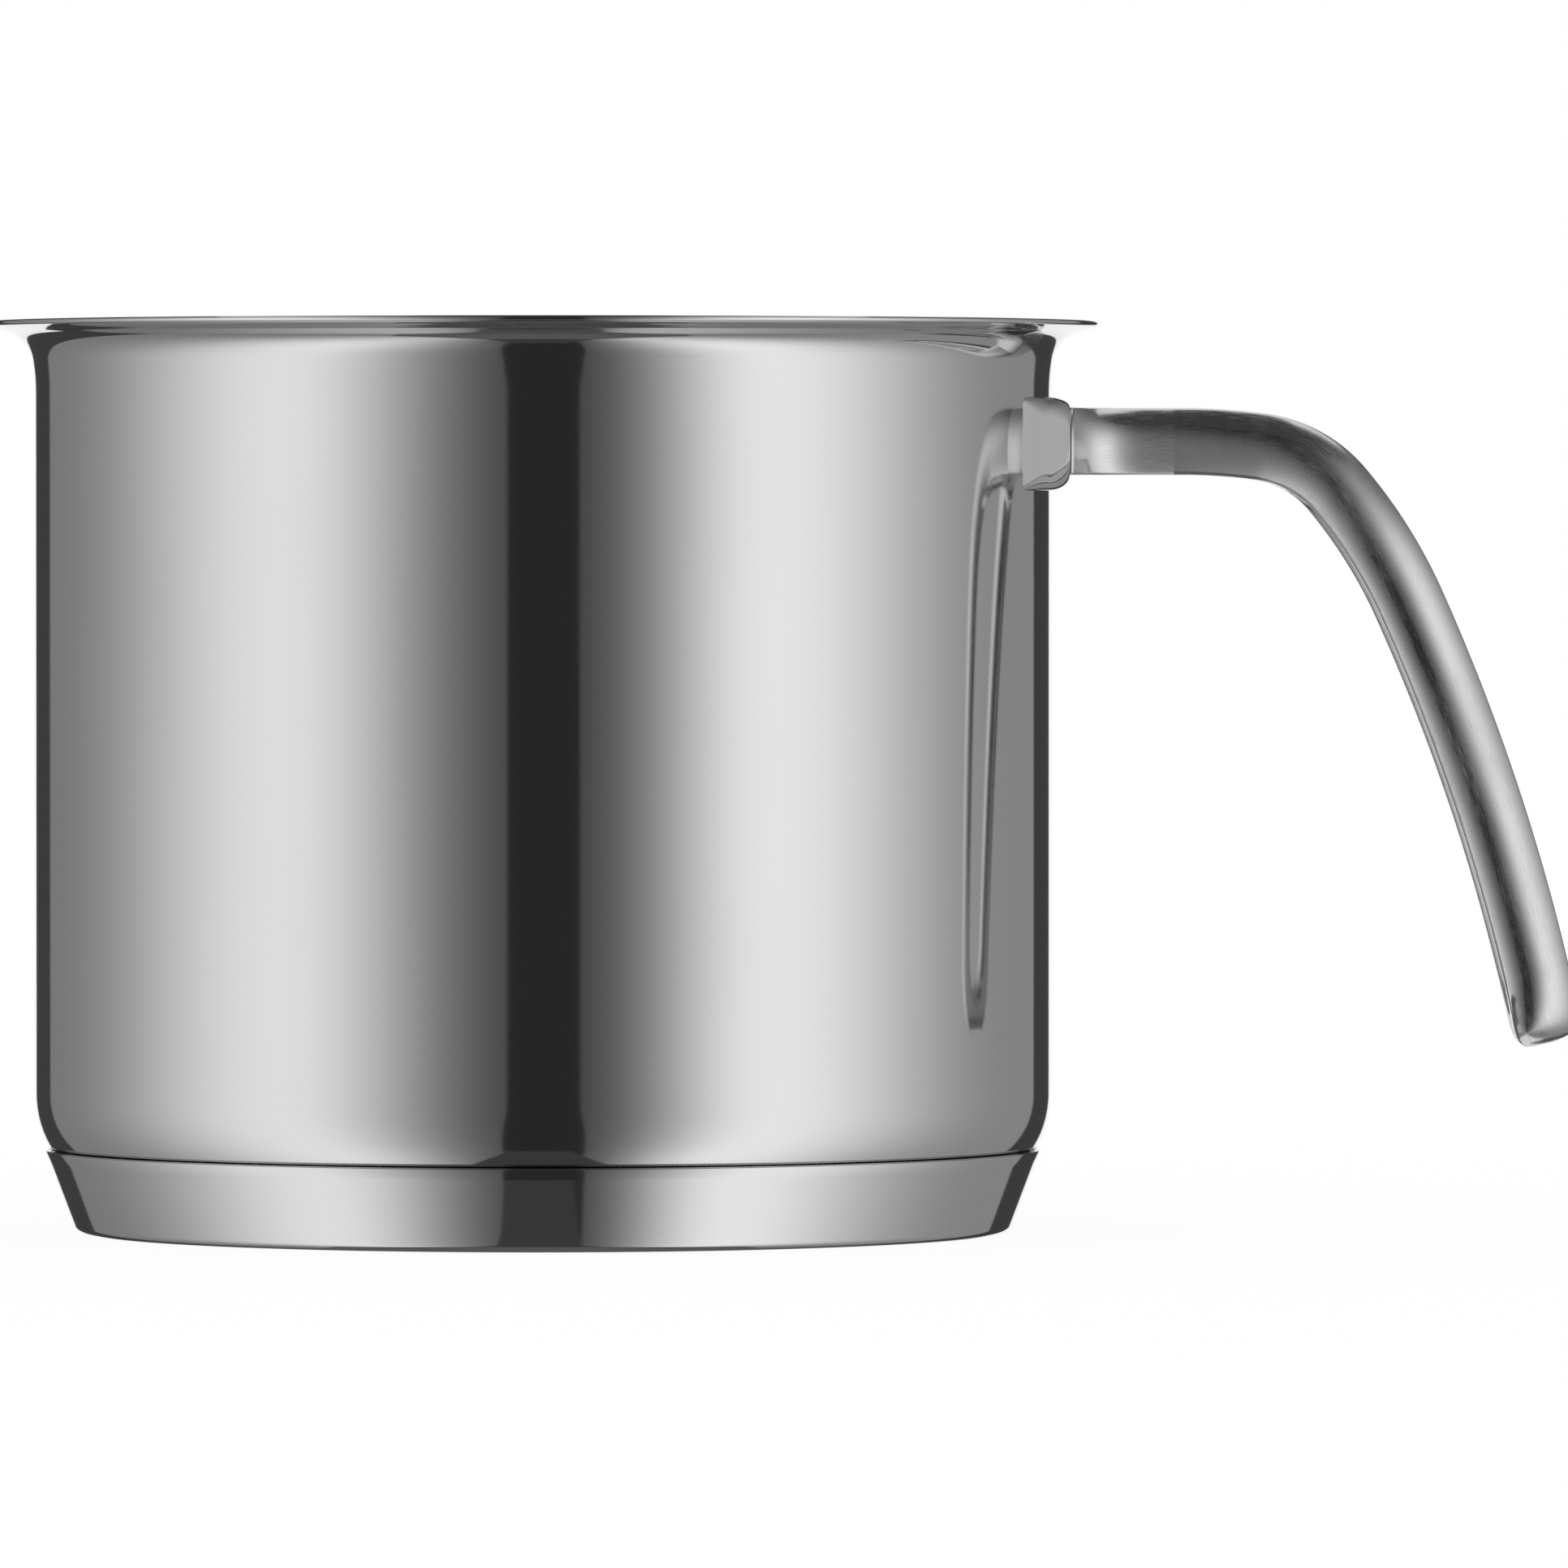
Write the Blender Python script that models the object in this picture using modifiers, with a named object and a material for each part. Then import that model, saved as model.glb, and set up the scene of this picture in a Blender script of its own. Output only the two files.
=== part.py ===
"""Milk pan of polished stainless steel, in metres, +Z up.

A drawn vessel with a flared pouring rim stands on an encapsulated base: an aluminium core in a
pressed cap. A cast loop handle is fixed at its top only, through a saddle foot on the wall.
The origin is on the pan's axis, on the flat underside of the base. The handle points along +X.
"""

import math

import bmesh
import bpy
from mathutils import Vector

# Fits and fineness
SEAT_GAP = 0.0003
CUT_OVERRUN = 0.0040
AXIS_MERGE = 0.00001
TURNED_STEPS = 72

# Vessel: one drawn sheet
PAN_HEIGHT = 0.1269
VESSEL_INNER_RADIUS = 0.0700
VESSEL_SHEET = 0.0008
VESSEL_CORNER_ACROSS = 0.0105
VESSEL_CORNER_UP = 0.0130
VESSEL_CORNER_STEPS = 8
RIM_THROAT_RADIUS = 0.0265
RIM_THROAT_SWEEP = math.radians(9.4)
RIM_THROAT_STEPS = 2
RIM_FLARE_RADIUS = 0.0050
RIM_FLARE_SWEEP = math.radians(65.3)
RIM_FLARE_STEPS = 6
RIM_LIP_REACH = 0.0026
RIM_EDGE_STEPS = 4

# Base: aluminium core in a pressed steel cap
CORE_THICKNESS = 0.0052
CORE_COLLAR_RISE = 0.0024
CORE_COLLAR_STEPS = 4
CAP_SHEET = 0.0006
CAP_HEIGHT = 0.0116
CAP_LIP_SHEET = 0.0005
CAP_TAPER = math.radians(20.3)
CAP_FOOT_ROUND = 0.0015
CAP_FOOT_STEPS = 4

# Handle foot: saddle block on the wall
FOOT_HEIGHT = 0.0129
FOOT_STANDOFF = 0.0024
FOOT_BELOW_RUN = 0.0004
FOOT_FRONT_WIDTH = 0.0336
FOOT_WALL_WIDTH = 0.0488
FOOT_EDGE_ROUND = 0.0030
FOOT_EDGE_STEPS = 4
FOOT_BITE = 0.0050
WALL_CUTTER_SIDES = 144

# Handle: one casting along a level run and four tangent arcs
HANDLE_BELOW_RIM = 0.01675
HANDLE_RUN = 0.0155
HANDLE_SHOULDER_RADIUS = 0.0812
HANDLE_SHOULDER_SWEEP = math.radians(7.7)
HANDLE_BEND_RADIUS = 0.0173
HANDLE_BEND_SWEEP = math.radians(42.5)
HANDLE_HIP_RADIUS = 0.0690
HANDLE_HIP_SWEEP = math.radians(15.6)
HANDLE_SLOPE_RADIUS = 0.2865
HANDLE_SLOPE_LENGTH = 0.0643
HANDLE_THICKNESS = 0.0094
HANDLE_NECK_WIDTH = 0.0178
HANDLE_GRIP_WIDTH = 0.0272
HANDLE_END_WIDTH = 0.0198
HANDLE_WIDENING_LENGTH = 0.0400
HANDLE_ROOT_FILLET = 0.0120
HANDLE_ROOT_LENGTH = 0.0097
HANDLE_END_ROUND = 0.0045
HANDLE_END_PLAN_ROUND = 0.0100
HANDLE_END_NARROWING_SHARE = 0.7
HANDLE_END_LEAN_SHARE = 0.5
HANDLE_SIDE_SQUARENESS = 5
HANDLE_RING_POINTS = 24

# Loop: the slot that parts the handle into two rails
RAIL_WIDTH = 0.0052
SLOT_START = 0.0318
SLOT_END_FROM_TIP = 0.0052
SLOT_ROUND_LENGTH = 0.0080
SLOT_ROUND_STEPS = 6

# Where rings lie along each stretch of the handle, as shares of the stretch
ROOT_RING_SHARES = (0.0, 0.2, 0.4, 0.6, 0.8, 1.0)
RUN_RING_SHARES = (1.0,)
SHOULDER_RING_SHARES = (0.5, 1.0)
BEND_RING_SHARES = (0.12, 0.25, 0.37, 0.5, 0.62, 0.75, 0.87, 1.0)
HIP_RING_SHARES = (0.33, 0.67, 1.0)
SLOPE_RING_SHARES = (0.2, 0.4, 0.6, 0.8, 1.0)
TIP_RING_SHARES = (0.25, 0.5, 0.7, 0.85, 0.95, 0.99)

# Values that follow from the sizes above
VESSEL_RADIUS = VESSEL_INNER_RADIUS + VESSEL_SHEET
VESSEL_UNDERSIDE = CAP_SHEET + SEAT_GAP + CORE_THICKNESS + SEAT_GAP
CORNER_TOP = VESSEL_UNDERSIDE + VESSEL_CORNER_UP
RUN_HEIGHT = PAN_HEIGHT - HANDLE_BELOW_RIM
FOOT_FRONT = VESSEL_RADIUS + FOOT_STANDOFF
HANDLE_START = FOOT_FRONT + SEAT_GAP
HANDLE_ARCS = ((HANDLE_SHOULDER_RADIUS, HANDLE_SHOULDER_RADIUS * HANDLE_SHOULDER_SWEEP),
               (HANDLE_BEND_RADIUS, HANDLE_BEND_RADIUS * HANDLE_BEND_SWEEP),
               (HANDLE_HIP_RADIUS, HANDLE_HIP_RADIUS * HANDLE_HIP_SWEEP),
               (HANDLE_SLOPE_RADIUS, HANDLE_SLOPE_LENGTH))
HANDLE_LENGTH = HANDLE_RUN + sum(length for radius, length in HANDLE_ARCS)
HANDLE_WIDEST = HANDLE_ROOT_LENGTH + HANDLE_WIDENING_LENGTH
SLOT_END = HANDLE_LENGTH - SLOT_END_FROM_TIP


def clear_scene():
    """Remove every object that the file opened with."""
    for old in list(bpy.data.objects):
        bpy.data.objects.remove(old, do_unlink=True)


def new_collection(name):
    """Return a new collection, linked into the scene."""
    collection = bpy.data.collections.new(name)
    bpy.context.scene.collection.children.link(collection)
    return collection


def metal(name, colour, roughness):
    """Return a metal material with the given colour and roughness."""
    material = bpy.data.materials.new(name)
    material.use_nodes = True
    shader = material.node_tree.nodes["Principled BSDF"]
    shader.inputs["Base Color"].default_value = (*colour, 1.0)
    shader.inputs["Metallic"].default_value = 1.0
    shader.inputs["Roughness"].default_value = roughness
    return material


def add_object(name, mesh, collection, material=None):
    """Link a mesh into a collection as an object with a material."""
    thing = bpy.data.objects.new(name, mesh)
    collection.objects.link(thing)
    if material:
        mesh.materials.append(material)
    return thing


def make_cutter(thing):
    """Show an object as a cutter: wires only, never rendered."""
    thing.hide_render = True
    thing.display_type = "WIRE"
    return thing


def cut(thing, cutter):
    """Take the cutter's volume out of an object."""
    boolean = thing.modifiers.new(cutter.name, "BOOLEAN")
    boolean.operation = "DIFFERENCE"
    boolean.solver = "EXACT"
    boolean.object = cutter


def turned(name, profile, collection, material):
    """Turn a profile of (radius, height) points about the pan's axis."""
    mesh = bpy.data.meshes.new(name)
    points = [(radius, 0.0, height) for radius, height in profile]
    edges = [(k, k + 1) for k in range(len(points) - 1)]
    mesh.from_pydata(points, edges, [])
    thing = add_object(name, mesh, collection, material)
    screw = thing.modifiers.new("turn", "SCREW")
    screw.axis = "Z"
    screw.angle = math.tau
    screw.steps = TURNED_STEPS
    screw.render_steps = TURNED_STEPS
    screw.use_merge_vertices = True
    screw.merge_threshold = AXIS_MERGE
    screw.use_smooth_shade = True
    return thing


def loft(name, rings, collection, material=None):
    """Skin a row of rings of equal point count, with both ends closed."""
    form = bmesh.new()
    loops = [[form.verts.new(point) for point in ring] for ring in rings]
    count = len(loops[0])
    for near, far in zip(loops, loops[1:]):
        for k in range(count):
            after = (k + 1) % count
            form.faces.new((near[k], near[after], far[after], far[k]))
    for face in form.faces:
        face.smooth = True
    form.faces.new(loops[0][::-1])
    form.faces.new(loops[-1])
    bmesh.ops.recalc_face_normals(form, faces=form.faces)
    mesh = bpy.data.meshes.new(name)
    form.to_mesh(mesh)
    form.free()
    return add_object(name, mesh, collection, material)


def vessel_radius_at(height, clearance=0.0):
    """Return the vessel's outer radius at a height, grown by a clearance."""
    drop = min(max(CORNER_TOP - height, 0.0) / (VESSEL_CORNER_UP + clearance), 1.0)
    across = (VESSEL_CORNER_ACROSS + clearance) * math.sqrt(1.0 - drop * drop)
    return VESSEL_RADIUS - VESSEL_CORNER_ACROSS + across


def vessel_corner(inset):
    """Return the bottom corner, from the wall down to the floor, of a surface in the sheet."""
    points = []
    for k in range(VESSEL_CORNER_STEPS + 1):
        turn = math.pi / 2 * k / VESSEL_CORNER_STEPS
        across = (VESSEL_CORNER_ACROSS - inset) * math.cos(turn)
        down = (VESSEL_CORNER_UP - inset) * math.sin(turn)
        points.append((VESSEL_RADIUS - VESSEL_CORNER_ACROSS + across, CORNER_TOP - down))
    return points


def rim_flare(inset):
    """Return the flare, from the end of the lip down to the wall, of a surface in the sheet."""
    slope = RIM_THROAT_SWEEP + RIM_FLARE_SWEEP
    radius = VESSEL_RADIUS - inset * math.cos(slope)
    radius += RIM_THROAT_RADIUS * (1 - math.cos(RIM_THROAT_SWEEP))
    radius += RIM_FLARE_RADIUS * (math.cos(RIM_THROAT_SWEEP) - math.cos(slope))
    radius += RIM_LIP_REACH * math.sin(slope)
    height = PAN_HEIGHT - (VESSEL_SHEET - inset) * math.sin(slope)
    points = [(radius, height)]
    radius -= RIM_LIP_REACH * math.sin(slope)
    height -= RIM_LIP_REACH * math.cos(slope)
    points.append((radius, height))
    for bend, sweep, steps in ((RIM_FLARE_RADIUS, RIM_FLARE_SWEEP, RIM_FLARE_STEPS),
                               (RIM_THROAT_RADIUS, RIM_THROAT_SWEEP, RIM_THROAT_STEPS)):
        for _ in range(steps):
            turned_slope = slope - sweep / steps
            radius -= (bend + inset) * (math.cos(turned_slope) - math.cos(slope))
            height -= (bend + inset) * (math.sin(slope) - math.sin(turned_slope))
            points.append((radius, height))
            slope = turned_slope
    return points


def rim_edge(upper, lower):
    """Return the rounded edge between the ends of the lip's two surfaces."""
    middle = (Vector(upper) + Vector(lower)) / 2
    across = Vector(upper) - middle
    outward = Vector((across.y, -across.x))
    points = []
    for k in range(1, RIM_EDGE_STEPS):
        turn = math.pi * k / RIM_EDGE_STEPS
        points.append(tuple(middle + across * math.cos(turn) + outward * math.sin(turn)))
    return points


def vessel_profile():
    """Return the drawn sheet's outline: inside from the floor up, then outside down."""
    inner_corner = vessel_corner(VESSEL_SHEET)[::-1]
    inner_flare = rim_flare(VESSEL_SHEET)[::-1]
    outer_flare = rim_flare(0.0)
    floor_centre = (0.0, inner_corner[0][1])
    underside_centre = (0.0, VESSEL_UNDERSIDE)
    return ([floor_centre] + inner_corner + inner_flare
            + rim_edge(inner_flare[-1], outer_flare[0])
            + outer_flare + vessel_corner(0.0) + [underside_centre])


def cap_radius_at(height):
    """Return the cap's outer radius at a height on its tapered side."""
    lip_radius = vessel_radius_at(CAP_HEIGHT) + SEAT_GAP + CAP_LIP_SHEET
    return lip_radius - (CAP_HEIGHT - height) * math.tan(CAP_TAPER)


def cap_foot(inset):
    """Return the cap's foot corner, from the tapered side down to the underside."""
    wall = inset / math.cos(CAP_TAPER)
    radius = CAP_FOOT_ROUND - inset / 2
    sweep = math.pi / 2 - CAP_TAPER
    tangent = radius * math.tan(sweep / 2)
    centre = cap_radius_at(inset) - wall - tangent
    points = []
    for k in range(CAP_FOOT_STEPS + 1):
        turn = CAP_TAPER + sweep * k / CAP_FOOT_STEPS
        points.append((centre + radius * math.cos(turn),
                       inset + radius - radius * math.sin(turn)))
    return points


def cap_profile():
    """Return the cap's outline: inside from the middle up, then outside down."""
    inner_foot = cap_foot(CAP_SHEET)[::-1]
    lip_radius = cap_radius_at(CAP_HEIGHT)
    lip_half = CAP_LIP_SHEET / 2
    lip = [(lip_radius - CAP_LIP_SHEET, CAP_HEIGHT - lip_half),
           (lip_radius - lip_half, CAP_HEIGHT),
           (cap_radius_at(CAP_HEIGHT - lip_half), CAP_HEIGHT - lip_half)]
    return [(0.0, CAP_SHEET)] + inner_foot + lip + cap_foot(0.0) + [(0.0, 0.0)]


def core_profile():
    """Return the core's outline: its top, its collar up round the vessel, its side, its floor."""
    top = VESSEL_UNDERSIDE - SEAT_GAP
    bottom = CAP_SHEET + SEAT_GAP
    inset = CAP_SHEET + SEAT_GAP
    collar = []
    for k in range(CORE_COLLAR_STEPS + 1):
        height = top + CORE_COLLAR_RISE * k / CORE_COLLAR_STEPS
        collar.append((vessel_radius_at(height, SEAT_GAP), height))
    side = cap_radius_at(collar[-1][1]) - inset / math.cos(CAP_TAPER)
    return ([(0.0, top)] + collar + [(side, collar[-1][1])] + cap_foot(inset) + [(0.0, bottom)])


def handle_point(distance):
    """Return the place and slope of the handle's middle line at a distance from its root."""
    run = min(distance, HANDLE_RUN)
    place = Vector((HANDLE_START + run, 0.0, RUN_HEIGHT))
    slope = 0.0
    left = distance - run
    for radius, length in HANDLE_ARCS:
        part = min(left, length)
        turned_slope = slope + part / radius
        place.x += radius * (math.sin(turned_slope) - math.sin(slope))
        place.z += radius * (math.cos(turned_slope) - math.cos(slope))
        slope = turned_slope
        left -= part
    return place, slope


def smooth(share):
    """Ease a share from 0 to 1."""
    share = min(max(share, 0.0), 1.0)
    return share * share * (3 - 2 * share)


def handle_width(distance):
    """Return the handle's width: a narrow neck, widest past the bend, narrower to its end."""
    widening = smooth((distance - HANDLE_ROOT_LENGTH) / HANDLE_WIDENING_LENGTH)
    along = (distance - HANDLE_WIDEST) / (HANDLE_LENGTH - HANDLE_WIDEST)
    grip = HANDLE_GRIP_WIDTH + (HANDLE_END_WIDTH - HANDLE_GRIP_WIDTH) * along
    return HANDLE_NECK_WIDTH + (grip - HANDLE_NECK_WIDTH) * widening


def handle_halves(distance):
    """Return the half width, and how far the inner and outer faces lie from the middle line."""
    to_fillet = min(max(HANDLE_ROOT_LENGTH - distance, 0.0), HANDLE_ROOT_FILLET)
    flare = HANDLE_ROOT_FILLET - math.sqrt(HANDLE_ROOT_FILLET ** 2 - to_fillet ** 2)
    tip = max(distance - HANDLE_LENGTH + HANDLE_END_ROUND, 0.0) / HANDLE_END_ROUND
    plan_tip = max(distance - HANDLE_LENGTH + HANDLE_END_PLAN_ROUND, 0.0) / HANDLE_END_PLAN_ROUND
    tip_round = HANDLE_THICKNESS / 2 * (1 - (1 - min(tip, 1.0) ** 3) ** (1 / 3))
    half_width = handle_width(distance) / 2
    plan_round = half_width * HANDLE_END_NARROWING_SHARE * (1 - math.sqrt(1 - min(plan_tip, 1.0) ** 2))
    half = HANDLE_THICKNESS / 2
    lean = tip_round * HANDLE_END_LEAN_SHARE
    return half_width + flare - plan_round, half - tip_round + lean, half - tip_round - lean


def across_handle(distance, sideways, outward):
    """Return the point at a distance along the handle, set off sideways and outward."""
    place, slope = handle_point(distance)
    out = Vector((math.sin(slope), 0.0, math.cos(slope)))
    return place + out * outward + Vector((0.0, sideways, 0.0))


def handle_ring(distance):
    """Return a ring of the handle's section: flat faces with rounded sides."""
    half_width, to_inner, to_outer = handle_halves(distance)
    middle = (to_outer - to_inner) / 2
    half_thickness = (to_outer + to_inner) / 2
    ring = []
    for k in range(HANDLE_RING_POINTS):
        turn = math.tau * k / HANDLE_RING_POINTS
        side = abs(math.cos(turn)) ** (2 / HANDLE_SIDE_SQUARENESS)
        sideways = math.copysign(side, math.cos(turn)) * half_width
        outward = middle + math.sin(turn) * half_thickness
        ring.append(across_handle(distance, sideways, outward))
    return ring


def handle_distances():
    """Return where the handle's rings lie, closer together where it bends or ends."""
    distances = [HANDLE_ROOT_LENGTH * share for share in ROOT_RING_SHARES]
    shoulder, bend, hip, slope = (length for radius, length in HANDLE_ARCS)
    stretches = ((HANDLE_RUN - HANDLE_ROOT_LENGTH, RUN_RING_SHARES),
                 (shoulder, SHOULDER_RING_SHARES), (bend, BEND_RING_SHARES),
                 (hip, HIP_RING_SHARES), (slope - HANDLE_END_PLAN_ROUND, SLOPE_RING_SHARES),
                 (HANDLE_END_PLAN_ROUND, TIP_RING_SHARES))
    for length, shares in stretches:
        start = distances[-1]
        distances += [start + length * share for share in shares]
    return distances


def slot_distances():
    """Return where the slot cutter's rings lie, close together in its two rounded ends."""
    round_ends = []
    for k in range(1, SLOT_ROUND_STEPS):
        in_from_end = SLOT_ROUND_LENGTH * (1 - math.cos(math.pi / 2 * k / SLOT_ROUND_STEPS))
        round_ends += [SLOT_START + in_from_end, SLOT_END - in_from_end]
    straight = (SLOT_START + SLOT_ROUND_LENGTH, SLOT_END - SLOT_ROUND_LENGTH)
    between = [d for d in handle_distances() if straight[0] < d < straight[1]]
    return sorted([*round_ends, *straight, *between])


def slot_half(distance):
    """Return the slot's half width: the handle's own less a rail, drawn in at the round ends."""
    from_end = min(distance - SLOT_START, SLOT_END - distance)
    to_straight = 1 - min(from_end / SLOT_ROUND_LENGTH, 1.0)
    return (handle_width(distance) / 2 - RAIL_WIDTH) * math.sqrt(1 - to_straight ** 2)


def slot_ring(distance):
    """Return a ring of the cutter that opens the loop right through the handle."""
    half = slot_half(distance)
    reach = HANDLE_THICKNESS / 2 + CUT_OVERRUN
    corners = ((half, -reach), (-half, -reach), (-half, reach), (half, reach))
    return [across_handle(distance, sideways, outward) for sideways, outward in corners]


def foot_outline():
    """Return the saddle's plan: a flat front, and sides that slant back through the wall."""
    front = FOOT_FRONT_WIDTH / 2
    wall = FOOT_WALL_WIDTH / 2
    wall_reach = math.sqrt((VESSEL_RADIUS + SEAT_GAP) ** 2 - wall ** 2)
    spread = (wall - front) / (FOOT_FRONT - wall_reach)
    back = wall_reach - FOOT_BITE
    back_half = wall + spread * FOOT_BITE
    return ((FOOT_FRONT, -front), (FOOT_FRONT, front), (back, back_half), (back, -back_half))


def handle_foot(collection, cutters, material):
    """Make the saddle: a block with rounded edges, hollowed to the vessel's wall."""
    middle = RUN_HEIGHT - FOOT_BELOW_RUN
    bottom = middle - FOOT_HEIGHT / 2
    form = bmesh.new()
    plan = form.faces.new([form.verts.new((x, y, bottom)) for x, y in foot_outline()])
    grown = bmesh.ops.extrude_face_region(form, geom=[plan])
    raised = [item for item in grown["geom"] if isinstance(item, bmesh.types.BMVert)]
    bmesh.ops.translate(form, verts=raised, vec=(0.0, 0.0, FOOT_HEIGHT))
    bmesh.ops.recalc_face_normals(form, faces=form.faces)
    mesh = bpy.data.meshes.new("handle_foot")
    form.to_mesh(mesh)
    form.free()
    foot = add_object("handle_foot", mesh, collection, material)
    bevel = foot.modifiers.new("rounded_edges", "BEVEL")
    bevel.width = FOOT_EDGE_ROUND
    bevel.segments = FOOT_EDGE_STEPS
    bevel.limit_method = "ANGLE"
    bevel.angle_limit = math.radians(60)

    form = bmesh.new()
    bmesh.ops.create_cone(form, cap_ends=True, segments=WALL_CUTTER_SIDES,
                          radius1=VESSEL_RADIUS + SEAT_GAP, radius2=VESSEL_RADIUS + SEAT_GAP,
                          depth=FOOT_HEIGHT + CUT_OVERRUN)
    bmesh.ops.translate(form, verts=form.verts, vec=(0.0, 0.0, middle))
    mesh = bpy.data.meshes.new("vessel_wall_cutter")
    form.to_mesh(mesh)
    form.free()
    cut(foot, make_cutter(add_object("vessel_wall_cutter", mesh, cutters)))


def handle(collection, cutters, material):
    """Make the handle: a solid neck that opens into a loop of two rails."""
    loop = loft("handle_loop", [handle_ring(d) for d in handle_distances()], collection, material)
    slot = loft("loop_slot_cutter", [slot_ring(d) for d in slot_distances()], cutters)
    cut(loop, make_cutter(slot))


def main():
    """Build the milk pan, piece by piece."""
    clear_scene()
    pan = new_collection("milk_pan")
    cutters = new_collection("cutters")
    polished = metal("polished_stainless_steel", (0.66, 0.65, 0.64), 0.06)
    satin = metal("satin_stainless_steel", (0.62, 0.61, 0.60), 0.20)
    aluminium = metal("rolled_aluminium", (0.80, 0.80, 0.81), 0.40)
    turned("pot_body", vessel_profile(), pan, polished)
    turned("base_core", core_profile(), pan, aluminium)
    turned("base_cap", cap_profile(), pan, polished)
    handle_foot(pan, cutters, polished)
    handle(pan, cutters, satin)


main()
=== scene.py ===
"""Looks of a milk pan: mirror-polished steel vessel and base, satin loop handle, in metres.

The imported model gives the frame. Each sub-assembly is a class that makes its fine surface inside
the space of the solid that it stands for, and each finish is a small class that makes a material.
"""

import logging
import math
from dataclasses import dataclass
from enum import Enum
from functools import partial
from itertools import accumulate

import bmesh
import bpy
from bpy.types import Material, Mesh, Node, NodeSocket, NodeTree, Object
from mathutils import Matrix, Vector


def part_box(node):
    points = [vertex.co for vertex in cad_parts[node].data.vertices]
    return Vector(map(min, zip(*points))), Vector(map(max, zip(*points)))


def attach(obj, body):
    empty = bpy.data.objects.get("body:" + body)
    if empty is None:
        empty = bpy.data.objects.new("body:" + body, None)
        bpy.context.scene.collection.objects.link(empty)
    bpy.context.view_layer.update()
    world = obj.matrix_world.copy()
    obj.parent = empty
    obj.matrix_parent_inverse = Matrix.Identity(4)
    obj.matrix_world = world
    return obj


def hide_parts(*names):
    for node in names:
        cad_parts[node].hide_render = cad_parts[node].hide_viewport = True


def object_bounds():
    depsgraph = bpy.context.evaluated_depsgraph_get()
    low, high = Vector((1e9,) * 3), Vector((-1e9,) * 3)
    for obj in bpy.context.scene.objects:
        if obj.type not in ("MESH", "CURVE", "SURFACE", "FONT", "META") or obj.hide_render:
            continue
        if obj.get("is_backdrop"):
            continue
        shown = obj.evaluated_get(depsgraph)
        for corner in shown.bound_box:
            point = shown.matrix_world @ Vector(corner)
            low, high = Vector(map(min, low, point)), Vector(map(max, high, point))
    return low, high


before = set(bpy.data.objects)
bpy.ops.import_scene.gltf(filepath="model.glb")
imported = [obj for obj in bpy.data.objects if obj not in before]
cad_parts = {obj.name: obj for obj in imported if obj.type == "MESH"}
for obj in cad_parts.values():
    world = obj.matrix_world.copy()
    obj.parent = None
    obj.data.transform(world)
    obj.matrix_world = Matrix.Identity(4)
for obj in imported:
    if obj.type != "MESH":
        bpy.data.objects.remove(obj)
CAD_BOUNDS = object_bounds()

LOG = logging.getLogger("milk_pan")
ROOT_BODY = "root"
MAP_NAME = "UVMap"
MATH = "ShaderNodeMath"
MICRON = 1e-6

Point = tuple[float, float]


class Slot(Enum):
    """Material slots that the record names."""

    POLISHED = "polished_steel"
    SATIN = "satin_steel"


class Grain(Enum):
    """Which way the marks of the finishing tool run."""

    ROUND_AXIS = "round the pan's axis"
    LENGTHWISE = "along the handle"
    RANDOM = "no direction"


def linear(hex_colour: str) -> tuple[float, float, float, float]:
    """Turn an sRGB hex colour into a linear one.

    Args:
        hex_colour: Six hex digits.

    Returns:
        Red, green, blue and alpha.
    """
    shares = [int(hex_colour[k:k + 2], 16) / 255 for k in (0, 2, 4)]
    return (*(s / 12.92 if s <= 0.04045 else ((s + 0.055) / 1.055) ** 2.4 for s in shares), 1.0)


def add_node(tree: NodeTree, kind: str, inputs: dict | None = None, **settings: object) -> Node:
    """Add a node, set its properties, and fill or link its inputs.

    Args:
        tree: The node tree that takes the node.
        kind: The node's type name.
        inputs: By input name or index: a value, a socket, or a node for its first output.
        settings: Properties of the node.

    Returns:
        The new node.
    """
    node = tree.nodes.new(kind)
    for name, value in settings.items():
        setattr(node, name, value)
    for key, value in (inputs or {}).items():
        if isinstance(value, Node):
            value = next(socket for socket in value.outputs if socket.enabled)
        if isinstance(value, NodeSocket):
            tree.links.new(value, node.inputs[key])
        else:
            node.inputs[key].default_value = value
    return node


def new_material(name: str) -> tuple[Material, NodeTree]:
    """Make a material without nodes.

    Args:
        name: The material's name.

    Returns:
        The material, and its empty node tree.
    """
    material = bpy.data.materials.new(name)
    material.use_nodes = True
    material.node_tree.nodes.clear()
    return material, material.node_tree


def as_mesh(form: bmesh.types.BMesh, name: str) -> Mesh:
    """Make a mesh of an edited form.

    Args:
        form: The form, which is freed.
        name: The mesh's name.

    Returns:
        The mesh.
    """
    mesh = bpy.data.meshes.new(name)
    form.to_mesh(mesh)
    form.free()
    return mesh


def baked(thing: Object) -> Mesh:
    """Return a new mesh of an object with its modifiers applied."""
    graph = bpy.context.evaluated_depsgraph_get()
    return bpy.data.meshes.new_from_object(thing.evaluated_get(graph), depsgraph=graph)


def ways_along(points: list[Point]) -> list[float]:
    """Return how far along a row of points each of them lies."""
    return [0.0, *accumulate(math.dist(near, far) for near, far in zip(points, points[1:]))]


def quarter_steps(size: float, count: int) -> list[float]:
    """Return places from 0 to a size, as evenly spaced points of a quarter round give them."""
    return [size * (1 - math.cos(math.pi / 2 * k / count)) for k in range(count + 1)]


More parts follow.
